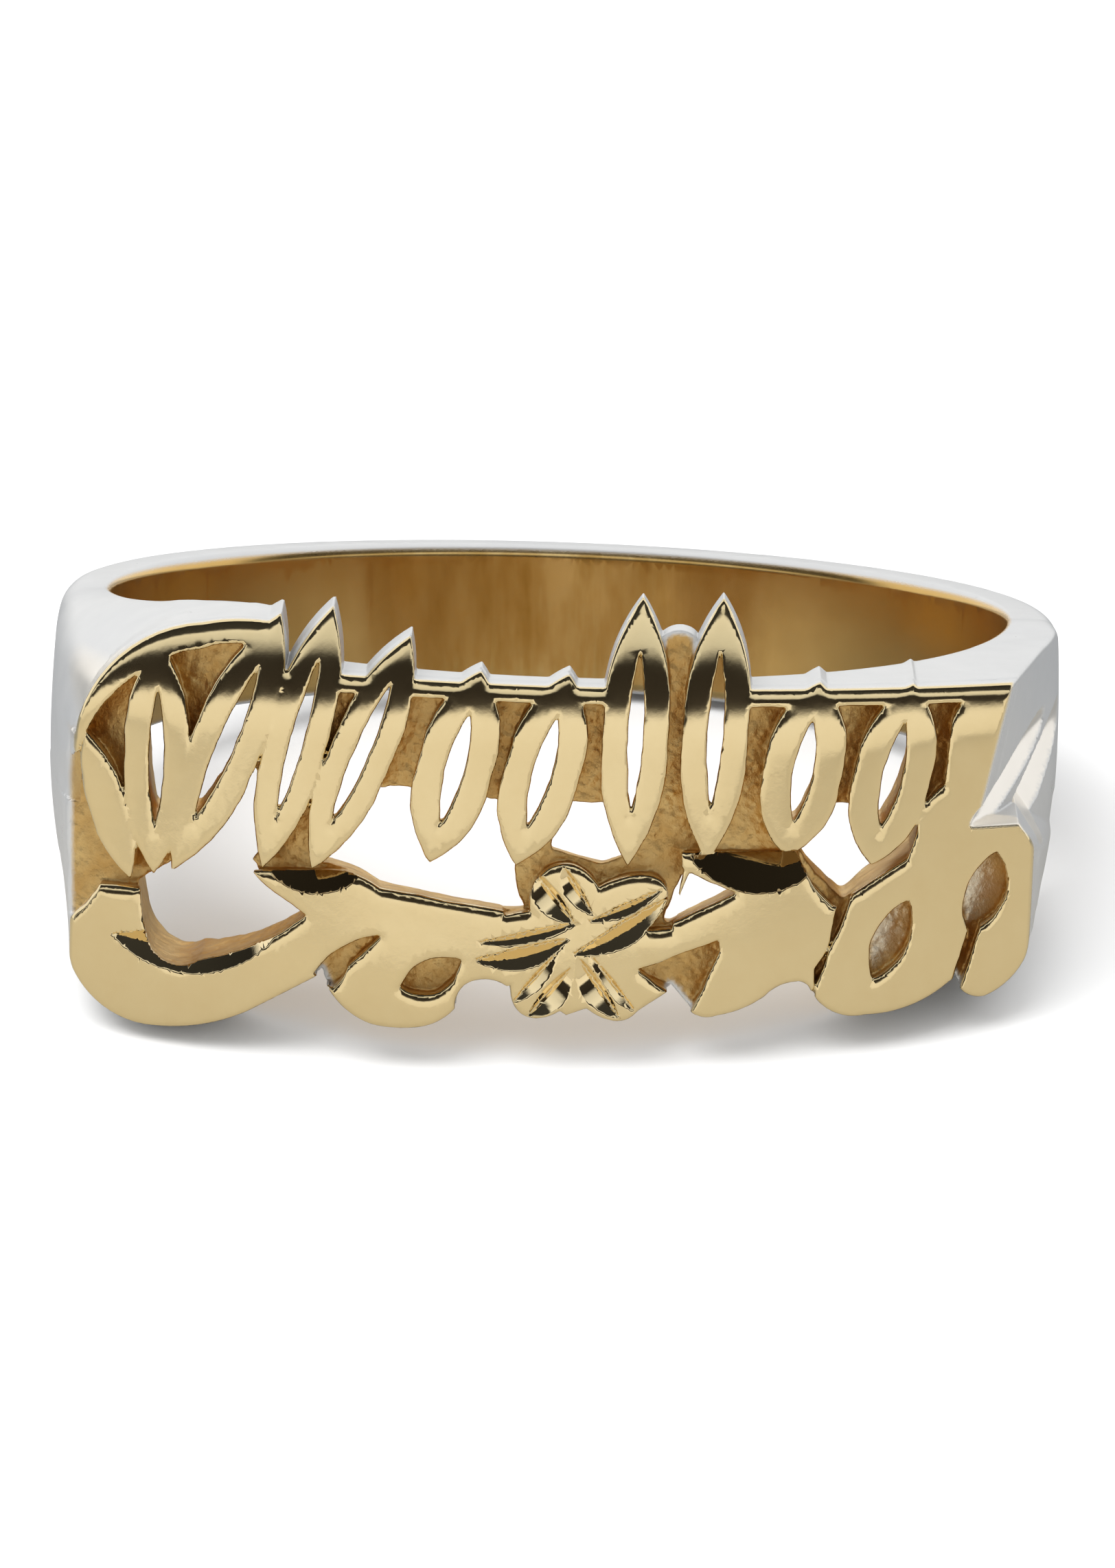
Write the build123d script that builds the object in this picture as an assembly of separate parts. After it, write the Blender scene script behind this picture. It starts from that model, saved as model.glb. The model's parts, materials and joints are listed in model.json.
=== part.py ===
from build123d import *
from math import atan2, radians, sqrt, tan
import os

# A cast gold ring with a pierced ornamental face. It is drawn upright, with the finger's axis along Z, the
# face towards -Y and the shank's upper rim at the sides at z = 0, then it is turned to the pose in which it
# rests on its two lower lobes and the back of its shank. Sizes are in millimetres.

finger_d = 17.35  # bore, US size 7
shank_wall = 1.05
shank_h_side = 3.5
shank_h_back = 2.9
rim_drop_back = 0.4  # how far the upper rim falls from the sides to the back

face_w = 17.4  # across the face, the width that the tables below are shares of
face_h = 6.6  # down the face, the height that the tables below are shares of
face_t = 1.18  # metal between the bore and the middle of the face
face_curve_r = 18.0  # the face bows round the finger, less than the shank does
web_depth = 0.6  # how far the cast webs lie behind the polished front

side_block_inset = 0.78  # how far the solid sides reach in past the bore, behind the face
side_block_h = 4.95
open_depth = 6.4  # depth of the pierced front; the ring is solid behind it
left_rise = 0.88  # climb of the left side's rim towards the face
left_rise_y = -6.6  # where that climb ends
left_rise_inset = 1.78  # how far that higher rim reaches in past the bore's side
left_rise_below = 0.3  # and how far down below z = 0
top_slope_low = (-47, 0.6)  # two points on the slope from that rim to the face's rounded edge, in per cent
top_slope_high = (-38, -11)
top_slope_climb = 0.1  # rise of that slope for each millimetre backwards
corner_drop = 1.6  # fall of the sloping upper left corner, at the edge of the face
corner_inset = 0.5  # from the bore's side to where that slope starts on the rim
corner_end_y = -1.75
side_facet_inset = 0.7  # width taken off the upper right side by its flat facet
side_facet_h = 2.65
shoulder_start_y = -1.17  # where the shank starts to grow towards the face
shoulder_run = 6.6  # length over which it grows
shoulder_foot_h = 7.4  # height that it would reach at the end of that length
shoulder_bow = 0.08  # bow of its lower edge, as rise over chord

facet_tool_r = 2.0  # round edge of the three mirror facets
facet_slope_deg = 35.0
petal_tool_r = 3.2  # wheel that cuts the twin scoops of a petal
petal_tool_edge_r = 0.35
petal_scoop_depth = 0.11
petal_scoop_gap = 0.27  # from a petal's middle line to each scoop's
petal_scoop_at = 0.6  # place of the scoops along a petal, as a share of its reach

mesh_tolerance = 0.01  # of the points by which the ring is levelled
level_steps = 12

bore_r = finger_d / 2
shank_r = bore_r + shank_wall
front_y = -(bore_r + face_t)
reach = 3 * shank_r  # longer than any part of the ring, for cutters that pass right through
rear_y = front_y + open_depth
left_edge = -0.515 * face_w  # where the face ends on either side
right_edge = 0.52 * face_w

# Outlines on the face. Each row is a corner, across and down in per cent of face_w and face_h from the
# middle of the rim, and the bow of the edge that leaves it: the rise of its arc over its chord, to the left.
OUTLINE = [
    (-56, 24, 0),
    (-51.6, 24, 0.165),
    (-38, -11, 0.04),
    (-31, -13, 0),
    (-30, 0, 0),
    (10.6, 0, 0),
    (11.2, -14, 0.2),
    (14.8, -14, 0),
    (15.4, 0, 0),
    (56, 0, 0),
    (56, 70, 0),
    (52.4, 70, 0.16),
    (47.4, 89.8, 0.2),
    (44, 84, 0),
    (43.4, 85, 0.09),
    (34.5, 93.5, 0.18),
    (28.2, 85, -0.15),
    (26.6, 83.5, -0.1),
    (23.5, 87.5, 0.06),
    (18.5, 93, 0.16),
    (15.2, 91, 0),
    (13.4, 85.6, 0),
    (9.2, 93.2, 0),
    (8, 93.6, 0),
    (4.8, 91.1, 0),
    (2.3, 93.6, 0),
    (-3, 84, 0),
    (-4.1, 86, -0.16),
    (-8.6, 86, -0.12),
    (-9.6, 93, 0.1),
    (-14, 99.2, 0.04),
    (-18.5, 99, 0.12),
    (-24, 85.5, 0),
    (-32, 98.5, 0.06),
    (-42, 105.5, 0.16),
    (-51.5, 90, 0.06),
    (-53, 80, 0),
    (-56, 80, 0),
]

# Upright leaves of the upper row: root across and down, tip across and down, the leaf's width and the width
# of the slot cut through along its middle, both in per cent of face_w.
LEAVES = [
    (-45, 64, -50.4, 23, 4.4, 0),
    (-42.5, 62, -42.6, -5.5, 7.2, 1.8),
    (-40.5, 60, -29.6, -15.5, 7.8, 2),
    (-30.8, 57, -24, -18.5, 6.6, 1.6),
    (-25.5, 56, -15.6, -12, 6.8, 1.8),
    (-12.8, 51.5, -8, -3.5, 8.2, 2.2),
    (-3.6, 51, 1.4, -3.5, 8.2, 2.2),
    (8.3, 50.5, 9, -24.5, 7.2, 1.8),
    (16.7, 49, 17.6, -24.5, 7.2, 1.8),
    (25.2, 47.5, 28.2, -2, 8.6, 2.3),
    (34.4, 50.5, 38.3, -1, 8.5, 2.3),
]
leaf_shoulder = 0.4  # share of a leaf's length over which each end tapers
slot_from = 0.2  # where a leaf's slot starts and ends, as shares of its length
slot_to = 0.8

# Gaps cut right through the webs between the leaves and the ribbons.
GAPS = [
    [
        (-43.8, 66, -0.03),
        (-43, 79, -0.3),
        (-37.5, 85, -0.06),
        (-26, 69, 0),
        (-27.4, 66.4, 0.06),
        (-32.5, 56, 0),
        (-28, 40, 0),
        (-29.4, 31, 0),
        (-33, 31, 0),
        (-38, 56, 0),
    ],
    [
        (-24.4, 54, 0),
        (-24, 36, 0),
        (-16.6, 33, 0),
        (-2, 36, 0),
        (-3.4, 47, 0),
        (-4.1, 52, -0.08),
        (-3, 64.5, 0),
        (-18, 59.5, -0.06),
    ],
    [(1.2, 35, 0), (7.4, 35, 0), (8.4, 47, 0), (5.6, 50, 0), (0.6, 46.6, 0)],
    [(15, 52, 0), (12.9, 66.5, 0), (19.8, 57.6, 0.02)],
    [
        (24.4, 44, 0),
        (27, 35, 0),
        (36, 35, 0),
        (39.2, 38, 0.05),
        (38.2, 48.5, 0),
        (31.6, 59.8, 0.04),
        (26.6, 44.6, 0),
    ],
]

# Cast webs, left behind the polished front: the ground of the upper row, then those of the lower one.
WEBS = [
    [
        (-56, 36, 0),
        (-51.8, 36, 0.15),
        (-37.6, -4, 0.04),
        (-31, -6, 0),
        (-30.4, 5, 0),
        (10.4, 5, 0),
        (10.4, -30, 0),
        (15.6, -30, 0),
        (15.6, 5, 0),
        (43.4, 5, -0.1),
        (42.4, 12, 0),
        (42, 28, -0.1),
        (39.2, 38, 0),
        (37, 46, 0),
        (14, 46, 0),
        (14, 52, 0),
        (-5, 52, 0),
        (-5, 57, 0),
        (-20, 55, 0),
        (-32, 57.4, 0),
        (-38, 60, 0),
        (-42, 65.6, 0),
        (-48.4, 66.2, 0.05),
        (-52, 78, 0),
        (-56, 78, 0),
    ],
    [(-15.4, 87.5, 0.2), (-9.2, 79, 0), (-9.8, 84.5, 0.2)],
    [(-24.8, 85.5, 0.1), (-18, 73.5, 0), (-21.3, 82.5, 0.06), (-22.8, 89.5, 0)],
    [(10, 80, 0), (18.2, 71.5, 0), (18.4, 74, 0), (15.1, 95, 0), (13.2, 95, 0), (13.2, 86.3, 0)],
    [(35.1, 83, 0.2), (38.6, 61, 0.2)],
    [(45.2, 70, 0.2), (48, 48.5, 0.3)],
    [(43.2, 90, 0), (45.6, 67.4, 0), (46.4, 69, 0), (44.3, 90, 0)],
    [(28, 90, -0.05), (31, 58, 0), (32.2, 59, 0.05), (28.8, 80, 0), (28.9, 90, 0)],
    [(26.2, 43, 0.04), (28.5, 43, -0.06), (32.4, 59, 0), (30.6, 62, 0.08)],
    [(-5, 51, 0), (14.2, 51, 0), (13.2, 68, 0), (3, 70, 0), (-4.5, 66, 0)],
]

# Mirror facets beside the gaps: the lowest point of each one's round edge, across and down, its radius as a
# share of facet_tool_r, and the outline that bounds it.
FACETS = [
    (-38.9, 89.6, 1.375, [(-48.5, 81.2, 0), (-48.5, 94, 0), (-25, 94, 0), (-25, 66, 0), (-43.2, 78, 0)]),
    (-25.3, 62.6, 0.75, [(-32.5, 57, 0), (-32.5, 66, 0), (-20.4, 66, 0), (-20.4, 54.8, 0)]),
    (22.4, 57.8, 0.915, [(14, 47, 0), (14, 62, 0), (28.4, 62, 0), (28.4, 45.4, 0)]),
]

# Petals of the flower: direction in degrees, reach and width as shares of flower_r.
flower_r = 1.95
flower_across = 3
flower_down = 71
petal_share = 0.56  # half a petal's length, as a share of its reach
PETALS = [
    (107, 0.73, 0.72),
    (32, 1.0, 0.62),
    (187, 1.03, 0.59),
    (238, 0.91, 0.67),
    (306, 0.95, 0.66),
]


def at(across, down):
    """Point on the face's drawing, X across and Y up, from shares in per cent."""
    return Vector(across * face_w / 100, -down * face_h / 100)


def edge(start, end, bow):
    """Straight edge, or an arc that rises to the left by bow times its chord."""
    if bow == 0:
        return Line(start, end)
    return SagittaArc(start, end, bow * (end - start).length)


def region(rows):
    """Flat region inside an outline of bowed edges."""
    corners = [at(across, down) for across, down, _ in rows]
    ends = corners[1:] + corners[:1]
    return make_face([edge(a, b, row[2]) for a, b, row in zip(corners, ends, rows)])


def leaf(root_across, root_down, tip_across, tip_down, width, _):
    """Leaf with straight flanks, rounded smoothly in to a point at both ends."""
    root = at(root_across, root_down)
    tip = at(tip_across, tip_down)
    taper = (tip - root) * leaf_shoulder
    side = taper.rotate(Axis.Z, 90).normalized() * (width * face_w / 200)
    bow = tan(atan2(side.length, taper.length) / 2) / 2
    corners = [root, root + taper + side, tip - taper + side, tip, tip - taper - side, root + taper - side]
    ends = corners[1:] + corners[:1]
    bows = [bow, 0, bow, bow, 0, bow]
    return make_face([edge(*row) for row in zip(corners, ends, bows)])


def leaf_slot(root_across, root_down, tip_across, tip_down, _, slot_width):
    """Pointed slot along the middle of a leaf."""
    root = at(root_across, root_down)
    axis = at(tip_across, tip_down) - root
    foot = root + axis * slot_from
    head = root + axis * slot_to
    bow = slot_width * face_w / 200 / (head - foot).length
    return make_face([edge(foot, head, bow), edge(head, foot, bow)])


def petal(turn_deg, reach_share, width_share):
    """Ellipse from near the flower's middle out to the petal's tip."""
    half = petal_share * reach_share * flower_r
    middle = at(flower_across, flower_down)
    outwards = reach_share * flower_r - half
    return Pos(middle) * Rot(0, 0, turn_deg) * Pos(outwards, 0) * Ellipse(half, width_share * flower_r / 2)


def through_face(sketch):
    """Prism of a region of the face's drawing, from the finger's axis out past the front."""
    return extrude(Plane.XZ * sketch, amount=-front_y + face_t)


def behind_front(depth):
    """Everything that lies at least this far behind the curved front."""
    middle_y = front_y + face_curve_r
    return Pos(0, middle_y, 0) * Cylinder(face_curve_r - depth, reach)


def front_curve_y(x):
    """Where the curved front lies, at this distance across."""
    return front_y + face_curve_r - sqrt(face_curve_r**2 - x**2)


def front_point(across, down):
    """Point on the curved front, and the direction in which the front faces there."""
    flat = at(across, down)
    point = Vector(flat.X, front_curve_y(flat.X), flat.Y)
    outward = Vector(point.X, point.Y - front_y - face_curve_r, 0).normalized()
    return point, outward


def ornament():
    """The pierced face: polished leaves, ribbons and flower on webs that lie further back."""
    petals = Sketch() + [petal(*row) for row in PETALS]
    leaves = Sketch() + [leaf(*row) for row in LEAVES]
    slots = Sketch() + [leaf_slot(*row) for row in LEAVES if row[-1]]
    gaps = Sketch() + [region(rows) for rows in GAPS]
    webs = Sketch() + [region(rows) for rows in WEBS]
    plate = region(OUTLINE) - gaps + leaves - slots + petals
    raised = region(OUTLINE) - gaps - webs + leaves - slots + petals
    back = through_face(plate) & behind_front(web_depth)
    front = [through_face(Sketch() + face) & behind_front(0) for face in raised.faces()]
    return back + front


def plan():
    """Seen along the finger's axis: round shank, straighter shoulders and the bowed front."""
    left = Vector(left_edge, front_curve_y(left_edge))
    right = Vector(right_edge, front_curve_y(right_edge))
    front = ThreePointArc(left, (0, front_y), right)
    right_side = TangentArc((shank_r, 0), right, tangent=(0, -1))
    left_side = TangentArc((-shank_r, 0), left, tangent=(0, -1))
    back = ThreePointArc((shank_r, 0), (0, shank_r), (-shank_r, 0))
    return extrude(make_face([front, right_side, back, left_side]), amount=reach / 2, both=True)


def side_view():
    """Seen from the side: the shank's height, and shoulders that grow to the full height of the face."""
    far = reach / 2
    drop = rim_drop_back * far / shank_r
    rise = (shank_h_side - shank_h_back - rim_drop_back) * far / shank_r
    shoulder = Vector(shoulder_start_y, -shank_h_side)
    foot = shoulder + Vector(-shoulder_run, shank_h_side - shoulder_foot_h)
    corners = [
        Vector(-far, far),
        Vector(left_rise_y, far),
        Vector(left_rise_y, left_rise),
        Vector(0, 0),
        Vector(far, -drop),
        Vector(far, rise - shank_h_side),
        Vector(0, -shank_h_side),
        shoulder,
        foot,
        Vector(-far, foot.Y),
    ]
    ends = corners[1:] + corners[:1]
    bows = [shoulder_bow if corner is shoulder else 0 for corner in corners]
    outline = [edge(*row) for row in zip(corners, ends, bows)]
    return extrude(Plane.YZ * make_face(outline), amount=far, both=True)


def side_block(side, inset, height, top):
    """Block on the left (-1) or the right (1), reaching in past the bore's side by inset."""
    middle_x = side * (bore_r - inset + reach / 4)
    to_top = (Align.CENTER, Align.CENTER, Align.MAX)
    return Pos(middle_x, 0, top) * Box(reach / 2, reach, height, align=to_top)


def corner_plane():
    """Sloping upper left corner, from the rim down to the edge of the face."""
    corner = Vector(left_edge, front_curve_y(left_edge), -corner_drop)
    rim_front = Vector(corner_inset - bore_r, corner.Y, 0)
    rim_back = Vector(-shank_r, corner_end_y, 0)
    along_rim = rim_back - rim_front
    return Plane(origin=rim_front, x_dir=along_rim, z_dir=along_rim.cross(corner - rim_front))


def top_slope_plane():
    """Slope from the higher left rim down to the rounded edge of the face."""
    low = front_point(*top_slope_low)[0]
    along_edge = front_point(*top_slope_high)[0] - low
    backwards = Vector(0, 1, top_slope_climb)
    return Plane(origin=low, x_dir=along_edge, z_dir=along_edge.cross(backwards))


def shoulders():
    """The solid sides and back of the ring behind the face; on the left the rim climbs towards the face."""
    right = side_block(1, side_block_inset, side_block_h, 0)
    left = side_block(-1, side_block_inset, side_block_h + left_rise, left_rise)
    left += side_block(-1, left_rise_inset, left_rise_below + left_rise, left_rise)
    for plane in (corner_plane(), top_slope_plane()):
        left = split(left, bisect_by=plane, keep=Keep.BOTTOM)
    back = Pos(0, rear_y, 0) * Box(reach, reach, side_block_h, align=(Align.CENTER, Align.MIN, Align.MAX))
    return (left + right + back) & behind_front(web_depth)


def side_facet():
    """Flat cut on the upper right side, from the face's edge back to the widest point."""
    near_x = right_edge - side_facet_inset
    near = Vector(near_x, front_curve_y(near_x))
    far = Vector(shank_r, shoulder_start_y)
    outside = [near, far, Vector(reach, far.Y), Vector(reach, -reach), Vector(near.X, -reach)]
    return Pos(0, 0, -side_facet_h) * extrude(make_face(Polyline(outside, close=True)), amount=reach)


def mirror_facet(across, down, radius_share, rows):
    """Cone-shaped cut that slopes from a round edge on the front down into the gap beside it."""
    point, outward = front_point(across, down)
    cone_r = radius_share * facet_tool_r
    axis_point = point + Vector(0, 0, cone_r)
    deep = cone_r * tan(radians(facet_slope_deg))
    cone = Cone(0, 2 * cone_r, 2 * deep, align=(Align.CENTER, Align.CENTER, Align.MIN))
    place = Plane(origin=axis_point - outward * deep, z_dir=outward)
    return (place * cone) & through_face(region(rows))


def petal_scoops(turn_deg, reach_share, _):
    """Two long scoops side by side along a petal, with a thin ridge between them."""
    middle, outward = front_point(flower_across, flower_down)
    face_plane = Plane(origin=middle, x_dir=(-outward.Y, outward.X, 0), z_dir=outward)
    wheel = Torus(petal_tool_r - petal_tool_edge_r, petal_tool_edge_r)
    rise = petal_tool_r - petal_scoop_depth
    along = petal_scoop_at * reach_share * flower_r
    cuts = []
    for side in (-1, 1):
        place = Rot(0, 0, turn_deg) * Pos(along, side * petal_scoop_gap, rise)
        cuts.append(face_plane * place * Rot(90, 0, 0) * wheel)
    return cuts


def upright_ring():
    body = plan() & side_view() & (ornament() + shoulders())
    body -= side_facet()
    body -= Cylinder(bore_r, reach)
    for row in FACETS:
        body -= mirror_facet(*row)
    for row in PETALS:
        body -= petal_scoops(*row)
    return body


def resting(points):
    """Turns the ring on to the plane under both lower lobes and the back of the shank, its face towards -Y."""
    up = Vector(0, 0, 1)
    for _ in range(level_steps):
        left = min((p for p in points if p.X < 0 and p.Y < 0), key=up.dot)
        right = min((p for p in points if p.X > 0 and p.Y < 0), key=up.dot)
        backwards = up.cross(right - left).normalized()
        behind = [p - left for p in points if p.Y > 0]
        back = min(behind, key=lambda gap: gap.dot(up) / gap.dot(backwards))
        up = (right - left).cross(back).normalized()
    return Plane(origin=(0, 0, 0), x_dir=Vector(0, 1, 0).cross(up), z_dir=up).location.inverse()


def on_ground(points, turn):
    """Moves the turned ring until it stands on z = 0, centred over the origin."""
    spots = [(turn * Pos(point)).position for point in points]
    middle_x = (min(p.X for p in spots) + max(p.X for p in spots)) / 2
    middle_y = (min(p.Y for p in spots) + max(p.Y for p in spots)) / 2
    return Pos(-middle_x, -middle_y, -min(p.Z for p in spots)) * turn


ring = upright_ring()
points = ring.tessellate(mesh_tolerance)[0]
place = on_ground(points, resting(points))
bore_axis = place * Pos(0, 0, 1)
bore_middle = place * Pos(0, 0, -(rim_drop_back + shank_h_side) / 2)
print("bore middle", bore_middle.position, "axis", bore_axis.position - place.position)
print("volume", ring.volume)

ring = place * ring
ring.label = "ring"
os.makedirs("parts", exist_ok=True)
export_step(ring, "parts/ring.step")
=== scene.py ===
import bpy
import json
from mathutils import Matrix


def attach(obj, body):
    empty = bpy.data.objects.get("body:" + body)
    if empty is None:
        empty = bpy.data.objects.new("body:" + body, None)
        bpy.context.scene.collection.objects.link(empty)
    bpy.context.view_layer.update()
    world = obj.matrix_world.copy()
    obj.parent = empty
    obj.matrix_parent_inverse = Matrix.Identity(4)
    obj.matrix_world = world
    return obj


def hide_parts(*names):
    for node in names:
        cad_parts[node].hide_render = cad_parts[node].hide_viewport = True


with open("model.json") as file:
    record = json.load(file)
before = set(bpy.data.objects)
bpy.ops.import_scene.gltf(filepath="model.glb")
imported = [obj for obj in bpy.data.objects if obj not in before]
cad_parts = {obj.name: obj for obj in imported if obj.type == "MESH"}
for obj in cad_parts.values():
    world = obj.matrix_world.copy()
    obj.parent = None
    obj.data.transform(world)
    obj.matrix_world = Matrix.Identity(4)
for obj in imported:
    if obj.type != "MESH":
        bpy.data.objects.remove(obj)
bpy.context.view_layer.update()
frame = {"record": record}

import json
import math

import bpy
import numpy as np
from mathutils import Matrix, Vector

# The ring is worked out in its own upright axes, in millimetres: the finger's axis along Z, the face towards
# -Y and the shank's rim at z = 0. Its solid is a signed distance field, below zero inside the metal, which is
# meshed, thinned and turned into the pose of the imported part. The sizes are those of the part's source.

finger_d = 17.35
shank_wall = 1.05
shank_h_side = 3.5
shank_h_back = 2.9
rim_drop_back = 0.33

face_w = 17.4
face_h = 6.6
face_t = 1.18
face_curve_r = 18.0
web_depth = 0.6

side_block_inset = 0.78
side_block_h = 4.95
open_depth = 6.4
left_rise = 0.88
left_rise_y = -6.6
left_rise_inset = 1.78
left_rise_below = 0.3
top_slope_low = (-47, 0.6)
top_slope_high = (-38, -11)
top_slope_climb = 0.1
corner_drop = 1.6
corner_inset = 0.5
corner_end_y = -1.75
side_facet_inset = 0.7
side_facet_h = 2.65
shoulder_start_y = -1.17
shoulder_run = 6.6
shoulder_foot_h = 7.4
shoulder_bow = 0.08

facet_tool_r = 2.0
facet_slope_deg = 35.0

bore_r = finger_d / 2
shank_r = bore_r + shank_wall
front_y = -(bore_r + face_t)
curve_middle_y = front_y + face_curve_r
rear_y = front_y + open_depth
left_edge = -0.515 * face_w
right_edge = 0.52 * face_w
bore_middle_z = -(rim_drop_back + shank_h_side) / 2

# What the cast and polished surface adds to the plain solid.
edge_round = 0.06  # polished edges of the face
web_round = 0.05
leaf_join = 0.03
petal_join = 0.02
block_join = 0.04
crease_round = 0.06
wall_round = 0.07  # edge between the face and the outer wall
rim_round = 0.38  # outer edges of the shank at its sides
rim_round_back = 0.2
rim_round_front = 0.1
rim_round_y = (-6, -1, 5)  # those three radii hold at these depths
bore_round = 0.08
bore_round_back = 0.26
bore_round_y = (-2, 5)
roll_width = 0.1  # the front falls away towards its edges over this width and by this depth
roll_depth = 0.012
top_roll_width = 0.3  # the same at edges that look upwards
top_roll_depth = 0.05
crown_start_z = -1.35  # above this height the front leans back in one long curve
crown_r = 5.9
crown_ease = 0.6  # height over which that curve sets in
foot_start_z = -4.6  # below this it turns down a little
foot_r = 45.0
face_wave = 3.2  # its polish is not quite flat
face_wave_depth = 0.007
fall_blur = 6  # passes that soften the roll-off
slot_shrink = 0.025  # rounds the pointed ends of the slots
barrel_middle_z = -2.4  # the outer wall bulges most at this height
barrel_top_r = 28.0  # radius of its bulge above and below that
barrel_foot_r = 12.0
barrel_start_y = -7.5  # the bulge grows from nothing here to its full size this far behind
barrel_run = 3.5
corner_round = 0.5  # ridge between the rim and the sloping upper left corner
corner_wall_round = 0.45
facet_round = 0.16  # ridges of the flat facet on the right
facet_lean = 0.19  # how far that facet cuts further in for each millimetre down, at its front end
facet_lean_length = 4.5  # the lean is gone this far back
ledge_level_x = 8.75  # beyond this its lower edge falls
ledge_fall = 1.2
gap_draft = 0.12  # the gaps widen by this much for each millimetre behind the front
draft_run = 0.25  # width over which that sets in, inside the outer edge
draft_depth = 1.2
cast_wobble = 0.012
cast_grain = 0.012
cast_wave = 0.5
grain_wave = 0.2
cast_run = 0.12  # the rough skin sets in over this width inside the outer edge
wave_octaves = (-1.0, 0.8)  # how far the single waves of a ripple may differ from its wavelength
ripple_waves = 18
cast_seed, grain_seed, wave_seed = 1, 2, 3

mesh_step = 0.048
block = 4  # cells along the side of a block that is tested as one
block_reach = 1.15  # one is looked into if the surface is within this share of its side plus block_spare
block_spare = 0.03
batch = 400000  # points worked out at a time
far_off = 5  # distance that stands for nothing near
least_slope = 0.2
most_triangles = 196000
face_detail_y = -4.0  # in front of this, the mesh is thinned less
face_weight = 0.5
rest_weight = 0.8
length_cost = 0.002
corner_share = 0.35  # how far in from a face's corner its colours and creases are looked up
corner_reach = 0.02
crease_deg = 5.0
draw_step = 0.02  # grid of the drawing's distances
slope_step = 0.012

# Outlines on the face, in per cent of face_w across and face_h down from the middle of the rim, and the bow
# of the edge that leaves each corner: the rise of its arc over its chord, to the left.
OUTLINE = [
    (-56, 24, 0), (-51.6, 24, 0.165), (-38, -11, 0.04), (-31, -13, 0), (-30, 0, 0), (10.6, 0, 0),
    (11.2, -14, 0.2), (14.8, -14, 0), (15.4, 0, 0), (56, 0, 0), (56, 70, 0), (52.4, 70, 0.16),
    (47.4, 89.8, 0.2), (44, 84, 0), (43.4, 85, 0.09), (34.5, 93.5, 0.18), (28.2, 85, -0.15),
    (26.6, 83.5, -0.1), (23.5, 87.5, 0.06), (18.5, 93, 0.16), (15.2, 91, 0), (13.4, 85.6, 0),
    (9.2, 93.2, 0), (8, 93.6, 0), (4.8, 91.1, 0), (2.3, 93.6, 0), (-3, 84, 0), (-4.1, 86, -0.16),
    (-8.6, 86, -0.12), (-9.6, 93, 0.1), (-14, 99.2, 0.04),
    (-18.5, 99, 0.12), (-24, 85.5, 0), (-32, 98.5, 0.06), (-42, 105.5, 0.16), (-51.5, 90, 0.06),
    (-53, 80, 0), (-56, 80, 0),
]

# Leaves of the upper row: root across and down, tip across and down, width, and width of the slot.
LEAVES = [
    (-45, 64, -50.4, 23, 4.4, 0),
    (-42.5, 62, -42.6, -5.5, 7.2, 1.8),
    (-40.5, 60, -29.6, -15.5, 7.8, 2),
    (-30.8, 57, -24, -18.5, 6.6, 1.6),
    (-25.5, 56, -15.6, -12, 6.8, 1.8),
    (-12.8, 51.5, -8, -3.5, 8.2, 2.2),
    (-3.6, 51, 1.4, -3.5, 8.2, 2.2),
    (8.3, 50.5, 9, -24.5, 7.2, 1.8),
    (16.7, 49, 17.6, -24.5, 7.2, 1.8),
    (25.2, 47.5, 28.2, -2, 8.6, 2.3),
    (34.4, 50.5, 38.3, -1, 8.5, 2.3),
]
leaf_shoulder = 0.4
pocket_corners = (35.1, 45.2)  # the two webs that start there are pale
low_row_z = -4.36  # the mirror facets above this look into the leaves' feet
slot_from = 0.2
slot_to = 0.8

# What is cut through between them.
GAPS = [
    [(-43.8, 66, -0.03), (-43, 79, -0.3), (-37.5, 85, -0.06), (-26, 69, 0), (-27.4, 66.4, 0.06),
     (-32.5, 56, 0), (-28, 40, 0), (-29.4, 31, 0), (-33, 31, 0), (-38, 56, 0)],
    [(-24.4, 54, 0), (-24, 36, 0), (-16.6, 33, 0), (-2, 36, 0), (-3.4, 47, 0), (-4.1, 52, -0.08),
     (-3, 64.5, 0), (-18, 59.5, -0.06)],
    [(1.2, 35, 0), (7.4, 35, 0), (8.4, 47, 0), (5.6, 50, 0), (0.6, 46.6, 0)],
    [(15, 52, 0), (12.9, 66.5, 0), (19.8, 57.6, 0.02)],
    [(24.4, 44, 0), (27, 35, 0), (36, 35, 0), (39.2, 38, 0.05), (38.2, 48.5, 0), (31.6, 59.8, 0.04),
     (26.6, 44.6, 0)],
]

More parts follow.
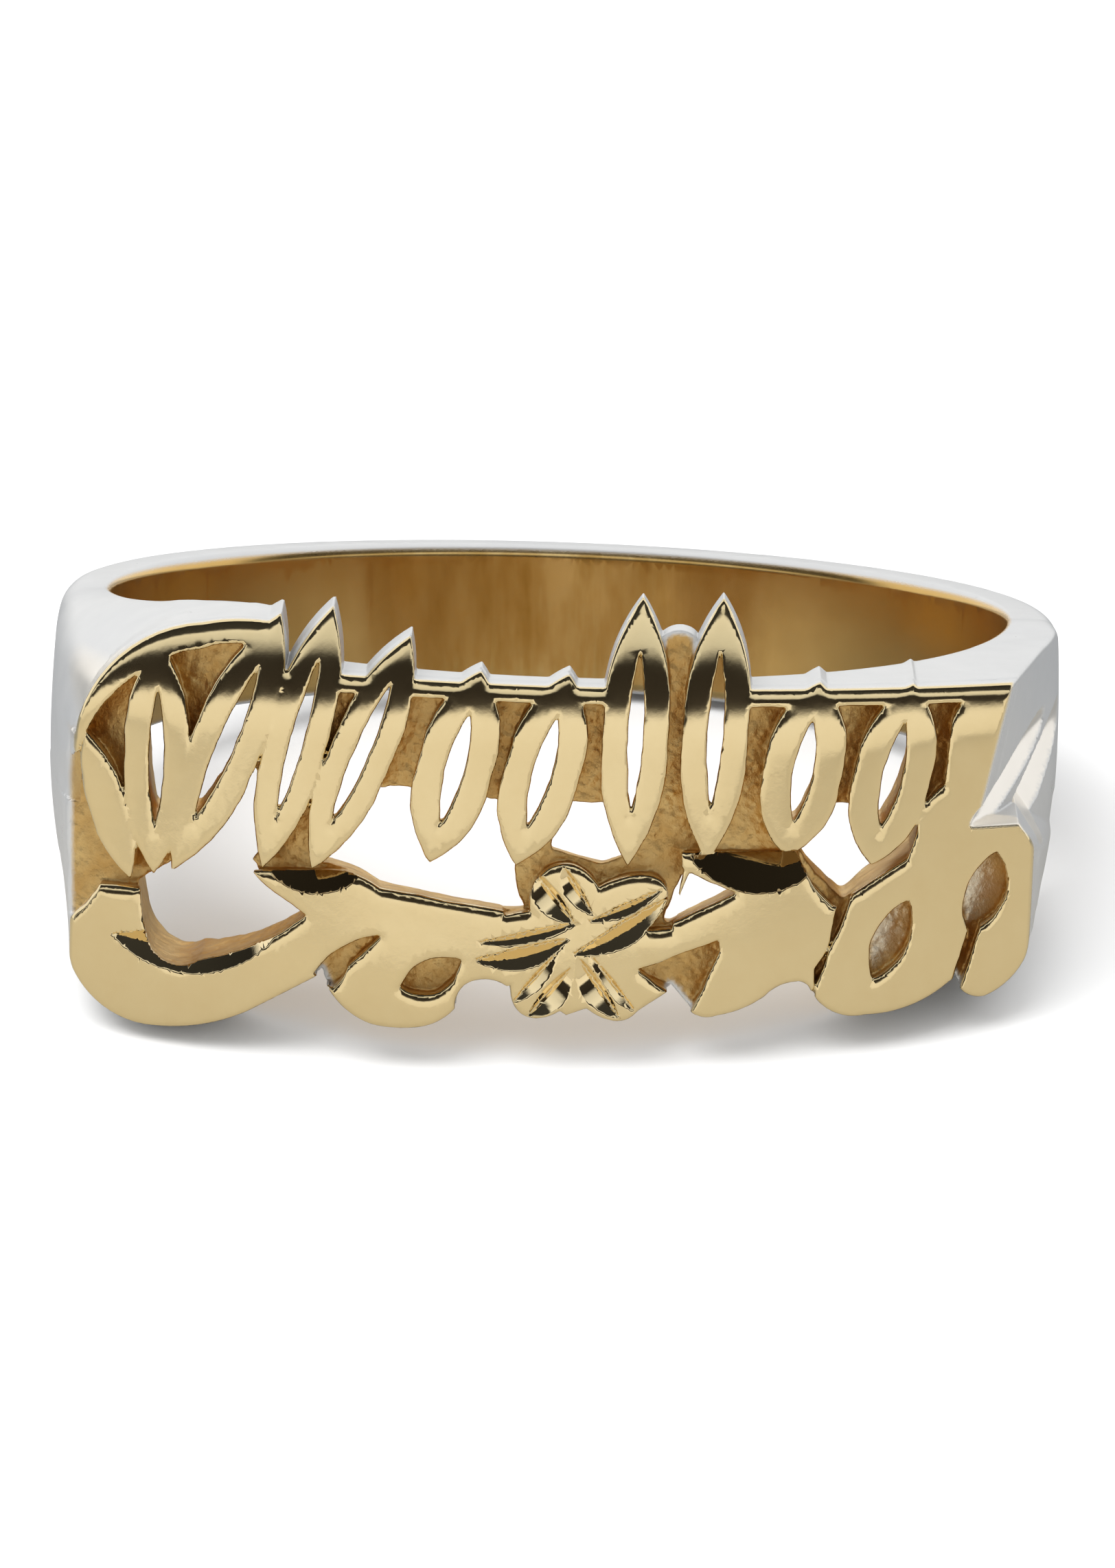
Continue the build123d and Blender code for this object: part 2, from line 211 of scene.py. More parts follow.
# What lies back by web_depth.
WEBS = [
    [(-56, 36, 0), (-51.8, 36, 0.15), (-37.6, -4, 0.04), (-31, -6, 0), (-30.4, 5, 0), (10.4, 5, 0),
     (10.4, -30, 0), (15.6, -30, 0), (15.6, 5, 0), (43.4, 5, -0.1), (42.4, 12, 0), (42, 28, -0.1),
     (39.2, 38, 0), (37, 46, 0), (14, 46, 0), (14, 52, 0), (-5, 52, 0), (-5, 57, 0), (-20, 55, 0),
     (-32, 57.4, 0), (-38, 60, 0), (-42, 65.6, 0), (-48.4, 66.2, 0.05), (-52, 78, 0), (-56, 78, 0)],
    [(-15.4, 87.5, 0.2), (-9.2, 79, 0), (-9.8, 84.5, 0.2)],
    [(-24.8, 85.5, 0.1), (-18, 73.5, 0), (-21.3, 82.5, 0.06), (-22.8, 89.5, 0)],
    [(10, 80, 0), (18.2, 71.5, 0), (18.4, 74, 0), (15.1, 95, 0), (13.2, 95, 0), (13.2, 86.3, 0)],
    [(35.1, 83, 0.2), (38.6, 61, 0.2)],
    [(45.2, 70, 0.2), (48, 48.5, 0.3)],
    [(43.2, 90, 0), (45.6, 67.4, 0), (46.4, 69, 0), (44.3, 90, 0)],
    [(28, 90, -0.05), (31, 58, 0), (32.2, 59, 0.05), (28.8, 80, 0), (28.9, 90, 0)],
    [(26.2, 43, 0.04), (28.5, 43, -0.06), (32.4, 59, 0), (30.6, 62, 0.08)],
    [(-5, 51, 0), (14.2, 51, 0), (13.2, 68, 0), (3, 70, 0), (-4.5, 66, 0)],
]

# Mirror facets: the lowest point of each, across and down, its cone's radius as a share of the tool's, and
# the region that it is kept to.
FACETS = [
    (-38.9, 89.6, 1.375, [(-48.5, 81.2, 0), (-48.5, 94, 0), (-25, 94, 0), (-25, 66, 0), (-43.2, 78, 0)]),
    (-25.3, 62.6, 0.75, [(-32.5, 57, 0), (-32.5, 66, 0), (-20.4, 66, 0), (-20.4, 54.8, 0)]),
    (22.4, 57.8, 0.915, [(14, 47, 0), (14, 62, 0), (28.4, 62, 0), (28.4, 45.4, 0)]),
]

flower_r = 1.95
flower_across = 3
flower_down = 71
petal_share = 0.56  # half of a petal's length as a share of its reach

# Petals: turn in degrees, and reach and width as shares of the flower's radius.
PETALS = [(107, 0.73, 0.72), (32, 1.0, 0.62), (187, 1.03, 0.59), (238, 0.91, 0.67), (306, 0.95, 0.66)]

# Bright cuts of the flower: the two ends of the straight edge where each is deepest, across and down, its
# width in millimetres, to the left of that edge or, below zero, to its right, and the slopes of its floor
# and of its wall in degrees.
CUTS = [
    (3.9, 66.2, -7.8, 73.8, 0.22, 34, 78),
    (2.6, 71.2, -8.0, 78.8, 0.4, 34, 78),
    (4.0, 66.6, 12.4, 56.2, -0.22, 34, 78),
    (2.6, 76.2, 12.9, 58.6, -0.42, 34, 78),
    (3.0, 67.4, -2.0, 51.4, 0.38, 29, 62),
    (5.0, 64.8, 1.2, 49.8, 0.28, 29, 66),
    (1.4, 74.6, -4.0, 92.0, 0.24, 29, 66),
    (2.9, 79.0, -2.4, 96.0, 0.38, 29, 62),
    (3.3, 76.3, 8.4, 95.2, -0.38, 29, 62),
    (4.4, 74.9, 10.2, 93.6, -0.24, 29, 66),
]

# Long scoops in the flat facet on the right: middle along it and its height, half length, half width, depth
# in millimetres, and how steeply they rise backwards.
SCOOPS = [(2.0, -2.0, 2.9, 0.42, 0.34, 0.26), (4.3, -2.35, 2.8, 0.55, 0.42, 0.34)]

# Soft hollows in the left wall: where each starts and ends, and its radius there.
HOLLOWS = [
    ((-9.9, -4.6, -2.75), 0.1, (-9.35, -8.1, -2.5), 0.66),
    ((-9.8, -5.4, -4.4), 0.1, (-9.3, -8.2, -4.1), 0.6),
]
hollow_round = 0.32
left_side_y = -6.8  # behind this and above left_side_z the left wall is the plain block's
left_side_z = -3.0
left_side_x = (-8.4, -7.4)  # and it gives way to the pierced face between these


# Flat outlines, as rows of points with no point repeated.

def at(across, down):
    return np.array([across * face_w / 100, -down * face_h / 100])


def arc(start, end, bow, pieces=12):
    """Points from start up to but not including end, along an arc that rises to the left."""
    if bow == 0:
        return [start]
    half_chord = (end - start) / 2
    left = np.array([-half_chord[1], half_chord[0]])
    half_turn = 2 * math.atan(2 * bow)
    places = np.linspace(-1, 1, pieces, endpoint=False) * half_turn
    along = np.sin(places) / math.sin(half_turn)
    rise = (np.cos(places) - math.cos(half_turn)) / math.sin(half_turn)
    return [start + half_chord * (1 + a) + left * r for a, r in zip(along, rise)]


def loop(corners, bows):
    points = []
    for start, end, bow in zip(corners, corners[1:] + corners[:1], bows):
        points += arc(start, end, bow)
    return np.array(points)


def region(rows):
    return loop([at(across, down) for across, down, _ in rows], [row[2] for row in rows])


def turned(vector, degrees):
    c, s = math.cos(math.radians(degrees)), math.sin(math.radians(degrees))
    return np.array([c * vector[0] - s * vector[1], s * vector[0] + c * vector[1]])


def leaf(root_across, root_down, tip_across, tip_down, width, _):
    root = at(root_across, root_down)
    tip = at(tip_across, tip_down)
    taper = (tip - root) * leaf_shoulder
    side = turned(taper, 90) / np.linalg.norm(taper) * (width * face_w / 200)
    bow = math.tan(math.atan2(np.linalg.norm(side), np.linalg.norm(taper)) / 2) / 2
    corners = [root, root + taper + side, tip - taper + side, tip, tip - taper - side, root + taper - side]
    return loop(corners, [bow, 0, bow, bow, 0, bow])


def leaf_slot(root_across, root_down, tip_across, tip_down, _, slot_width):
    root = at(root_across, root_down)
    axis = at(tip_across, tip_down) - root
    foot = root + axis * slot_from
    head = root + axis * slot_to
    bow = slot_width * face_w / 200 / np.linalg.norm(head - foot)
    return loop([foot, head], [bow, bow])


def petal(turn_deg, reach_share, width_share, points=64):
    half = petal_share * reach_share * flower_r
    outwards = reach_share * flower_r - half
    round_points = []
    for turn in np.arange(points) * 2 * math.pi / points:
        spot = (outwards + half * math.cos(turn), -width_share * flower_r / 2 * math.sin(turn))
        round_points.append(at(flower_across, flower_down) + turned(spot, turn_deg))
    return np.array(round_points)


# Distance fields of flat outlines, on a grid.

class Sheet:
    """A grid of points over part of a plane, and fields on it that can be read between its points."""

    def __init__(self, low, high, step):
        self.low = low
        self.step = step
        self.u = np.arange(low[0], high[0], step, dtype=np.float32)
        self.v = np.arange(low[1], high[1], step, dtype=np.float32)

    def distance(self, points, margin=1.2):
        """Signed distance from a closed outline, below zero inside it, and plain far outside its box."""
        field = np.full((len(self.u), len(self.v)), margin, np.float32)
        rows = (self.u > points[:, 0].min() - margin) & (self.u < points[:, 0].max() + margin)
        columns = (self.v > points[:, 1].min() - margin) & (self.v < points[:, 1].max() + margin)
        u, v = np.meshgrid(self.u[rows], self.v[columns], indexing="ij")
        nearest = np.full(u.shape, 1e6, np.float32)
        inside = np.zeros(u.shape, bool)
        for (au, av), (bu, bv) in zip(points, np.roll(points, -1, axis=0)):
            du, dv = bu - au, bv - av
            share = np.clip(((u - au) * du + (v - av) * dv) / (du * du + dv * dv), 0, 1)
            gap_u = u - au - share * du
            gap_v = v - av - share * dv
            np.minimum(nearest, gap_u * gap_u + gap_v * gap_v, out=nearest)
            if av != bv:
                inside ^= ((v < av) != (v < bv)) & (u < au + (v - av) * (du / dv))
        nearest = np.sqrt(nearest)
        field[np.ix_(rows, columns)] = np.minimum(np.where(inside, -nearest, nearest), margin)
        return field

    def read(self, field, u, v):
        place_u = np.clip((u - self.low[0]) / self.step, 0, len(self.u) - 1.01)
        place_v = np.clip((v - self.low[1]) / self.step, 0, len(self.v) - 1.01)
        i = place_u.astype(np.int32)
        j = place_v.astype(np.int32)
        place_u -= i
        place_v -= j
        spot = i * len(self.v) + j
        flat = field.ravel()
        low = flat[spot] * (1 - place_v) + flat[spot + 1] * place_v
        spot += len(self.v)
        high = flat[spot] * (1 - place_v) + flat[spot + 1] * place_v
        return low * (1 - place_u) + high * place_u


def joined(a, b, r):
    """Union with a fillet of radius r where the two meet."""
    both = np.hypot(np.maximum(r - a, 0), np.maximum(r - b, 0))
    return np.maximum(r, np.minimum(a, b)) - both


def common(a, b, r):
    """Intersection with its edge rounded to radius r."""
    both = np.hypot(np.maximum(r + a, 0), np.maximum(r + b, 0))
    return np.minimum(-r, np.maximum(a, b)) + both


def union_of(sheet, outlines):
    fields = [sheet.distance(points) for points in outlines]
    return np.minimum.reduce(fields)


def ripple(x, y, z, wave, seed):
    """Smooth random field, mostly between -1 and 1, with about this wavelength."""
    draw = np.random.default_rng(seed)
    total = np.zeros_like(x)
    for _ in range(ripple_waves):
        way = draw.normal(size=3)
        way *= 2 * math.pi / wave / np.linalg.norm(way) * 2 ** draw.uniform(*wave_octaves)
        total += np.sin(way[0] * x + way[1] * y + way[2] * z + draw.uniform(0, 2 * math.pi))
    return total * math.sqrt(0.5 / ripple_waves)


# The drawing of the face, as distance fields over across and up.
face = Sheet((-10.0, -7.5), (10.0, 1.9), draw_step)
slots = union_of(face, [leaf_slot(*row) for row in LEAVES if row[-1]])
gaps = union_of(face, [region(rows) for rows in GAPS])
webs = union_of(face, [region(rows) for rows in WEBS])
leaves = union_of(face, [leaf(*row) for row in LEAVES])
pockets = union_of(face, [region(rows) for rows in WEBS if rows[0][0] in pocket_corners])
petals = union_of(face, [petal(*row) for row in PETALS])
outline = face.distance(region(OUTLINE), margin=3)


def drawn(cuts):
    """The outline without its cuts, with the leaves, their slots and the petals."""
    ground = np.maximum(outline, -cuts)
    with_leaves = joined(ground, leaves, leaf_join)
    slotted = np.maximum(with_leaves, -slots - slot_shrink)
    return joined(slotted, petals, petal_join)


plate_field = drawn(gaps)
raised_field = drawn(np.minimum(gaps, webs))
rim_field = np.minimum(np.minimum(outline, leaves), petals)


def blurred(field):
    """The field, with each value mixed with its neighbours' a few times over."""
    for _ in range(fall_blur):
        for axis in (0, 1):
            field = (np.roll(field, 1, axis) + 2 * field + np.roll(field, -1, axis)) / 4
    return field


def front_fall():
    """How far the polished front lies behind its plain curve: its crown and the roll-off at its edges."""
    over = np.clip(face.v - crown_start_z, 0, None)
    crown = over**3 / (2 * crown_r * (over + crown_ease))
    crown = crown + np.clip(foot_start_z - face.v, 0, None) ** 2 / (2 * foot_r)
    upward = np.clip(np.gradient(raised_field, draw_step, axis=1), 0, 1)
    width = roll_width + (top_roll_width - roll_width) * upward
    depth = roll_depth + (top_roll_depth - roll_depth) * upward**2
    roll = depth * np.clip(1 + raised_field / width, 0, 1) ** 3
    u, v = np.meshgrid(face.u, face.v, indexing="ij")
    wave = face_wave_depth * (1 + ripple(u, 0 * u, v, face_wave, wave_seed))
    return (crown[None, :] + blurred(roll) + wave).astype(np.float32)


fall_field = front_fall()


def side_outline():
    """Outline of the ring seen from its side, over y and z."""
    far = 3 * shank_r / 2
    drop = rim_drop_back * far / shank_r
    rise = (shank_h_side - shank_h_back - rim_drop_back) * far / shank_r
    foot_z = -shoulder_foot_h
    rows = [
        (-far, far, 0), (left_rise_y, far, 0), (left_rise_y, left_rise, 0), (0, 0, 0), (far, -drop, 0),
        (far, rise - shank_h_side, 0), (0, -shank_h_side, 0), (shoulder_start_y, -shank_h_side, shoulder_bow),
        (shoulder_start_y - shoulder_run, foot_z, 0), (-far, foot_z, 0),
    ]
    return loop([np.array([y, z]) for y, z, _ in rows], [bow for _, _, bow in rows])


profile = Sheet((-10.2, -7.9), (10.2, 2.1), draw_step)
profile_field = profile.distance(side_outline(), margin=5)


def side_walls(x, y, z):
    """Distance from the outer wall: round behind, and one flatter arc on either side of the face."""
    wall = np.hypot(x, y) - shank_r
    for edge, sign in ((right_edge, 1), (-left_edge, -1)):
        edge_y = curve_middle_y - math.sqrt(face_curve_r**2 - edge**2)
        r = ((edge - shank_r) ** 2 + edge_y**2) / (2 * (shank_r - edge))
        flat = np.hypot(sign * x - shank_r + r, y) - r
        wall = np.where((y < 0) & (sign * x > 0), flat, wall)
    over = z - barrel_middle_z
    bulge = over**2 / (2 * np.where(over > 0, barrel_top_r, barrel_foot_r))
    return wall + bulge * np.clip((y - barrel_start_y) / barrel_run, 0, 1)


def plane_through(a, b, c):
    """Unit normal and offset of a plane, facing the side from which a, b and c run anticlockwise."""
    normal = np.cross(np.subtract(b, a), np.subtract(c, a))
    normal = normal / np.linalg.norm(normal)
    return normal, float(np.dot(normal, a))


def curve_y(x):
    return curve_middle_y - math.sqrt(face_curve_r**2 - x**2)


def corner_cut(x, y, z):
    """Sloping upper left corner: distance above its plane."""
    corner = (left_edge, curve_y(left_edge), -corner_drop)
    rim_front = (corner_inset - bore_r, corner[1], 0)
    rim_back = (-shank_r, corner_end_y, 0)
    normal, offset = plane_through(rim_front, rim_back, corner)
    if normal[2] < 0:
        normal, offset = -normal, -offset
    return normal[0] * x + normal[1] * y + normal[2] * z - offset


def top_slope(x, y, z):
    """Slope from the higher left rim down to the rounded edge of the face: distance above its plane."""
    low = front_frame(*top_slope_low)[0]
    high = front_frame(*top_slope_high)[0]
    normal, offset = plane_through(low, high, low + np.array([0, 1, top_slope_climb]))
    return normal[0] * x + normal[1] * y + normal[2] * z - offset


def left_blocks(x, y, z):
    """The solid left side, with its higher rim."""
    rim = np.maximum(bore_r - left_rise_inset + x, -left_rise_below - z)
    blocks = np.minimum(np.minimum(bore_r - side_block_inset + x, rear_y - y), rim)
    slopes = common(corner_cut(x, y, z), top_slope(x, y, z), corner_round)
    top = common(np.maximum(z - left_rise, -side_block_h - z), slopes, corner_round / 2)
    return np.maximum(blocks, top)


def right_blocks(x, y, z):
    blocks = np.minimum(bore_r - side_block_inset - x, rear_y - y)
    return np.maximum(blocks, np.abs(z + side_block_h / 2) - side_block_h / 2)


def facet_place(x, y):
    """How far back from the face's edge, and how far outside the flat facet's line, seen along the finger."""
    near_x = right_edge - side_facet_inset
    near_y = curve_y(near_x)
    along = np.array([shank_r - near_x, shoulder_start_y - near_y])
    along /= np.linalg.norm(along)
    back = along[0] * (x - near_x) + along[1] * (y - near_y)
    return back, along[1] * (x - near_x) - along[0] * (y - near_y)


def scooped(back, z):
    """Depth of the two scoops in that facet."""
    deepest = np.zeros_like(z)
    for middle, middle_z, half_length, half_width, depth, climb in SCOOPS:
        share = (back - middle) / half_length
        beside = (z - middle_z - climb * (back - middle)) / half_width
        deepest = np.maximum(deepest, depth * (1 - share**2 - beside**2))
    return deepest


def facet_cut(x, y, z):
    """Distance outside the leaning facet on the upper right side, which has two scoops and a lower edge."""
    back, beyond = facet_place(x, y)
    lean = facet_lean * np.clip(1 - back / facet_lean_length, 0, 1)
    outside = beyond - lean * (z + side_facet_h / 3) + scooped(back, z)
    ledge = z + side_facet_h + ledge_fall * np.maximum(x - ledge_level_x, 0)
    return joined(outside, ledge, crease_round)


def hollows(x, y, z):
    """Distance from the soft hollows in the left wall."""
    cuts = np.full_like(x, far_off)
    for start, start_r, end, end_r in HOLLOWS:
        axis = np.subtract(end, start)
        from_start = [x - start[0], y - start[1], z - start[2]]
        share = np.clip(sum(d * a for d, a in zip(from_start, axis)) / (axis @ axis), 0, 1)
        away = np.sqrt(sum((d - share * a) ** 2 for d, a in zip(from_start, axis)))
        cuts = np.minimum(cuts, away - start_r - share * (end_r - start_r))
    return cuts


def front_frame(across, down):
    """Point on the curved front, the direction across and the direction in which the front faces there."""
    u, v = at(across, down)
    point = np.array([u, curve_y(u), v])
    outward = np.array([u, point[1] - curve_middle_y, 0]) / face_curve_r
    return point, np.array([-outward[1], outward[0], 0]), outward


def mirror_facets(x, y, z):
    """Distance from the three cone-shaped cuts."""
    cuts = np.full_like(x, far_off)
    slope = math.radians(facet_slope_deg)
    for (at_across, at_down, radius_share, _), limit in zip(FACETS, facet_limits):
        cone_r = radius_share * facet_tool_r
        point, across, outward = front_frame(at_across, at_down)
        dx, dy, dz = x - point[0], y - point[1], z - point[2] - cone_r
        height = dx * outward[0] + dy * outward[1]
        from_axis = np.hypot(dx * across[0] + dy * across[1], dz)
        cone = (from_axis - cone_r) * math.sin(slope) - height * math.cos(slope)
        cuts = np.minimum(cuts, np.maximum(cone, face.read(limit, x, z)))
    return cuts


facet_limits = [face.distance(region(row[-1])) for row in FACETS]


def flower_cuts(x, y, z):
    """Distance from the bright cuts: a steep straight wall each, and a floor that rises to a curved edge."""
    cuts = np.full_like(x, far_off)
    height = np.hypot(x, y - curve_middle_y) - face_curve_r
    for start_across, start_down, end_across, end_down, width, floor_deg, wall_deg in CUTS:
        start, end = at(start_across, start_down), at(end_across, end_down)
        length = np.linalg.norm(end - start)
        way = (end - start) / length
        side = math.copysign(1, width)
        along = ((x - start[0]) * way[0] + (z - start[1]) * way[1]) / length * 2 - 1
        beside = side * ((z - start[1]) * way[0] - (x - start[0]) * way[1])
        floor, wall = math.radians(floor_deg), math.radians(wall_deg)
        lowest = -math.tan(floor) * abs(width) * (1 - along**2)
        over_floor = (lowest + math.tan(floor) * beside - height) * math.cos(floor)
        over_wall = (lowest - math.tan(wall) * beside - height) * math.cos(wall)
        cuts = np.minimum(cuts, np.maximum(over_floor, over_wall))
    return cuts


def front_distance(x, y, z):
    return np.hypot(x, y - curve_middle_y) - face_curve_r + face.read(fall_field, x, z)


def ring_distance(x, y, z):
    """Signed distance from the ring's surface, below zero in the metal."""
    inner = np.clip(-face.read(rim_field, x, z) / cast_run, 0, 1)
    wobble = inner * cast_wobble * ripple(x, y, z, cast_wave, cast_seed)
    grain = inner * cast_grain * ripple(x, y, z, grain_wave, grain_seed)
    front = front_distance(x, y, z)
    plain_front = np.hypot(x, y - curve_middle_y) - face_curve_r
    deep_inside = np.clip((-face.read(rim_field, x, z) - cast_run) / draft_run, 0, 1)
    draft = gap_draft * deep_inside * np.clip(-plain_front, 0, draft_depth)
    raised = common(face.read(raised_field, x, z) + wobble + draft, front, edge_round)
    ground_front = plain_front + web_depth + grain
    ground = common(face.read(plate_field, x, z) + wobble + grain / 2 + draft, ground_front, web_round)
    side_end = np.where(z > left_side_z, np.interp(x, left_side_x, (left_side_y, 0)), 0).astype(np.float32)
    ornament = np.maximum(joined(raised, ground, crease_round), y - side_end)

    round_r = np.interp(y, rim_round_y, (rim_round_front, rim_round, rim_round_back)).astype(np.float32)
    limits = common(side_walls(x, y, z), profile.read(profile_field, y, z), round_r)
    limits = common(limits, facet_cut(x, y, z), facet_round)
    limits = common(limits, -hollows(x, y, z), hollow_round)

    blocks = np.where(x < 0, left_blocks(x, y, z), right_blocks(x, y, z))
    blocks = np.maximum(blocks, plain_front + web_depth)
    blocks = common(blocks, limits, np.where(x < 0, corner_wall_round, wall_round))
    body = joined(common(ornament, limits, wall_round), blocks, block_join)

    inner_round = np.interp(y, bore_round_y, (bore_round, bore_round_back)).astype(np.float32)
    body = common(body, bore_r - np.hypot(x, y), inner_round)
    body = np.maximum(body, -mirror_facets(x, y, z))
    return np.maximum(body, -flower_cuts(x, y, z))


# Meshing.

low_corner = np.array([-10.0, -10.1, -7.6])
high_corner = np.array([10.0, 10.0, 2.0])


def sampled(step):
    """The distance field on a grid, worked out only in the blocks that the surface may pass through."""
    counts = np.ceil((high_corner - low_corner) / (step * block)).astype(int)
    axes = [low_corner[i] + (np.arange(counts[i]) + 0.5) * step * block - step / 2 for i in range(3)]
    middles = np.meshgrid(*[axis.astype(np.float32) for axis in axes], indexing="ij")
    coarse = ring_distance(*[m.ravel() for m in middles]).reshape(counts)
    mask = np.abs(coarse) < step * block * block_reach + block_spare
    values = np.where(coarse < 0, -1, 1).astype(np.float32)
    for axis in range(3):
        mask = np.repeat(mask, block, axis=axis)
        values = np.repeat(values, block, axis=axis)
    spots = np.argwhere(mask)
    points = (low_corner + spots * step).astype(np.float32)
    for part in np.array_split(np.arange(len(points)), max(1, len(points) // batch)):
        p = points[part]
        values[tuple(spots[part].T)] = ring_distance(p[:, 0], p[:, 1], p[:, 2])
    return values


def surface_net(values, step):
    """One point in each cell that the surface crosses, and one four-sided face round each crossed edge."""
    inside = values < 0
    corners = [(i, j, k) for i in (0, 1) for j in (0, 1) for k in (0, 1)]
    shape = np.array(values.shape) - 1

    def shifted(array, offset):
        i, j, k = offset
        return array[i:i + shape[0], j:j + shape[1], k:k + shape[2]]

    held = sum(shifted(inside, c).astype(np.uint8) for c in corners)
    cells = np.argwhere((held > 0) & (held < 8))
    number = np.full(tuple(shape), -1, np.int32)
    number[tuple(cells.T)] = np.arange(len(cells))
    total = np.zeros((len(cells), 3))
    crossings = np.zeros(len(cells))
    for a in corners:
        for axis in range(3):
            if a[axis]:
                continue
            b = tuple(1 if i == axis else a[i] for i in range(3))
            va = values[tuple((cells + a).T)]
            vb = values[tuple((cells + b).T)]
            crossed = (va < 0) != (vb < 0)
            share = np.where(crossed, va / np.where(crossed, va - vb, 1), 0)
            spot = np.array(a) + share[:, None] * (np.array(b) - a)
            total += np.where(crossed[:, None], spot, 0)
            crossings += crossed
    points = low_corner + (cells + total / crossings[:, None]) * step

    faces = []
    for axis in range(3):
        one, two = (axis + 1) % 3, (axis + 2) % 3
        start = inside.take(range(inside.shape[axis] - 1), axis=axis)
        end = inside.take(range(1, inside.shape[axis]), axis=axis)
        edges = np.argwhere(start != end)
        edges = edges[(edges[:, one] > 0) & (edges[:, two] > 0)]
        leaving = start[tuple(edges.T)]
        step_one = np.eye(3, dtype=int)[one]
        step_two = np.eye(3, dtype=int)[two]
        ring = [edges - step_one - step_two, edges - step_two, edges, edges - step_one]
        quad = np.stack([number[tuple(np.minimum(cell, shape - 1).T)] for cell in ring], axis=1)
        quad[~leaving] = quad[~leaving][:, ::-1]
        faces.append(quad[(quad >= 0).all(axis=1)])
    return points, np.concatenate(faces)


def slope(points, reach):
    """Gradient of the distance field."""
    x, y, z = points.astype(np.float32).T
    parts = []
    for dx, dy, dz in np.eye(3, dtype=np.float32) * reach:
        ahead = ring_distance(x + dx, y + dy, z + dz)
        behind = ring_distance(x - dx, y - dy, z - dz)
        parts.append((ahead - behind) / (2 * reach))
    return np.stack(parts, axis=1)


def settled(points, step, rounds):
    """The points, moved on to the surface."""
    for _ in range(rounds):
        x, y, z = points.astype(np.float32).T
        away = ring_distance(x, y, z)
        direction = slope(points, slope_step)
        steep = np.maximum((direction**2).sum(axis=1), least_slope)
        move = np.clip(away / steep, -step / 2, step / 2)
        points = points - direction * move[:, None]
    return points


def thinned(mesh, most):
    """Collapses edges until no more than this many triangles are left, more of them behind the face."""
    triangles = sum(len(face.vertices) - 2 for face in mesh.polygons)
    if triangles <= most:
        return mesh
    holder = bpy.data.objects.new("thinning", mesh)
    bpy.context.scene.collection.objects.link(holder)
    group = holder.vertex_groups.new(name="plain")
    points = vertex_places(mesh)
    on_face = points[:, 1] < face_detail_y
    for chosen, weight in ((on_face, face_weight), (~on_face, rest_weight)):
        group.add(np.flatnonzero(chosen).tolist(), weight, "REPLACE")
    modifier = holder.modifiers.new("collapse", "DECIMATE")
    modifier.ratio = most / triangles
    modifier.vertex_group = group.name
    modifier.vertex_group_factor = length_cost
    evaluated = holder.evaluated_get(bpy.context.evaluated_depsgraph_get())
    result = bpy.data.meshes.new_from_object(evaluated)
    bpy.data.objects.remove(holder)
    return result


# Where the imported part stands: the mount gives the bore's middle and axis.

def ring_place():
    mount = frame["record"]["mounts"][0]
    up = Vector(mount["axis"]).normalized()
    backwards = Vector((0, up.z, -up.y)).normalized()
    across = backwards.cross(up)
    turn = Matrix((across, backwards, up)).transposed()
    origin = Vector(mount["pos_m"]) * 1000 - up * bore_middle_z
    return turn, origin


turn, origin = ring_place()


def to_row(point):
    """From the ring's axes, in millimetres, to the row frame, in metres."""
    return (turn @ Vector(point) + origin) / 1000


def vertex_places(mesh):
    points = np.zeros(len(mesh.vertices) * 3)
    mesh.vertices.foreach_get("co", points)
    return points.reshape(-1, 3)


def build_ring():
    step = mesh_step
    points, faces = surface_net(sampled(step), step)
    points = settled(points, step, 2)
    mesh = bpy.data.meshes.new("ring_surface")
    mesh.from_pydata(points.tolist(), [], faces.tolist())
    mesh = thinned(mesh, most_triangles)
    return mesh, settled(vertex_places(mesh), step, 1)


def smooth(low, high, value):
    """Soft step: 0 up to low, 1 from high on. High may be the smaller of the two."""
    share = np.clip((value - low) / (high - low), 0, 1)
    return share * share * (3 - 2 * share)


# Each zone of the surface sets in between the first and the second of two distances, in millimetres.
face_zone_y = -3  # those of the face end here
on_front_fade = (0.16, 0.03)
off_facet_fade = (0.0, 0.06)
on_cut_fade = (0.02, 0.005)
in_bore_fade = (0.09, 0.02)
inside_edge_fade = (-0.05, -0.12)
behind_front_fade = (-0.04, -0.12)
inside_wall_fade = (0.05, 0.15)
inside_facet_fade = (0.03, 0.1)
off_hollow_fade = (0.02, 0.12)
in_scoop_fade = (0.01, 0.05)
on_facet_fade = (-0.08, -0.03)
on_corner_fade = (0.14, 0.02)
corner_back_fade = (0, -1.5)
in_pocket_fade = (0.0, -0.05)


